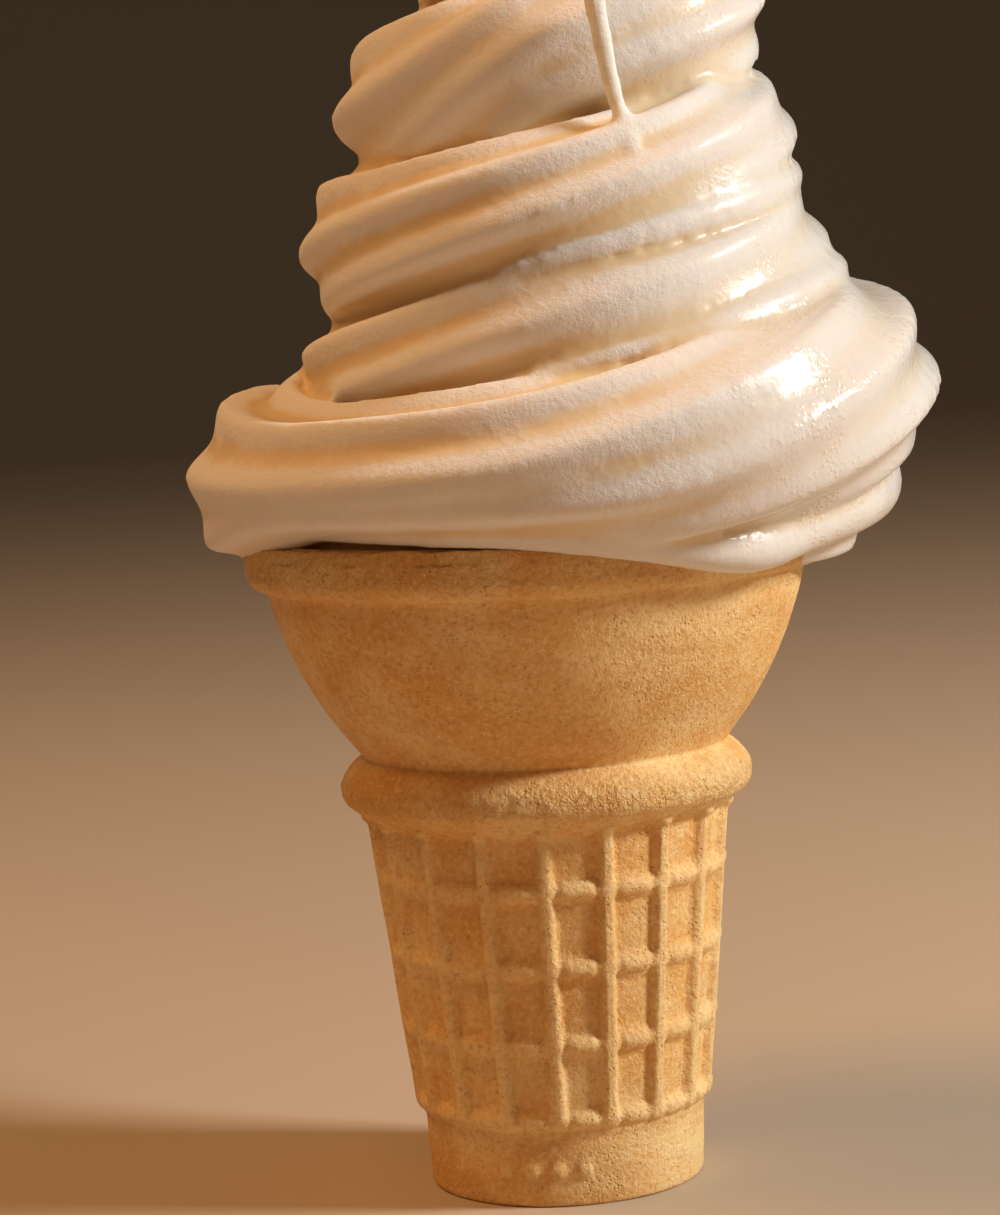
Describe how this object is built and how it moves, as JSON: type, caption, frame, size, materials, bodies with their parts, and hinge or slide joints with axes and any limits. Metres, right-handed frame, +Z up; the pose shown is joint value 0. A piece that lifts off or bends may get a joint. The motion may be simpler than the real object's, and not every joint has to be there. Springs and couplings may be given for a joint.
{
  "type": "soft serve cone",
  "caption": "Vanilla soft serve piped in a tall fluted swirl with a thin hanging tip, filling a flat-bottomed wafer cup cone with a waffle-ribbed stem, a collar and a flared bowl.",
  "frame": {"origin": "centre of the wafer cone's flat underside, on the surface it stands on", "axes": "+Z up along the cone, -Y the shown front, +X the side on which the swirl stands out further"},
  "size_m": [0.0928, 0.0884, 0.1728],
  "materials": {
    "wafer": null,
    "cream": null
  },
  "bodies": {
    "root": {"wafer_cone": "wafer", "soft_serve": "cream"}
  },
  "joints": []
}
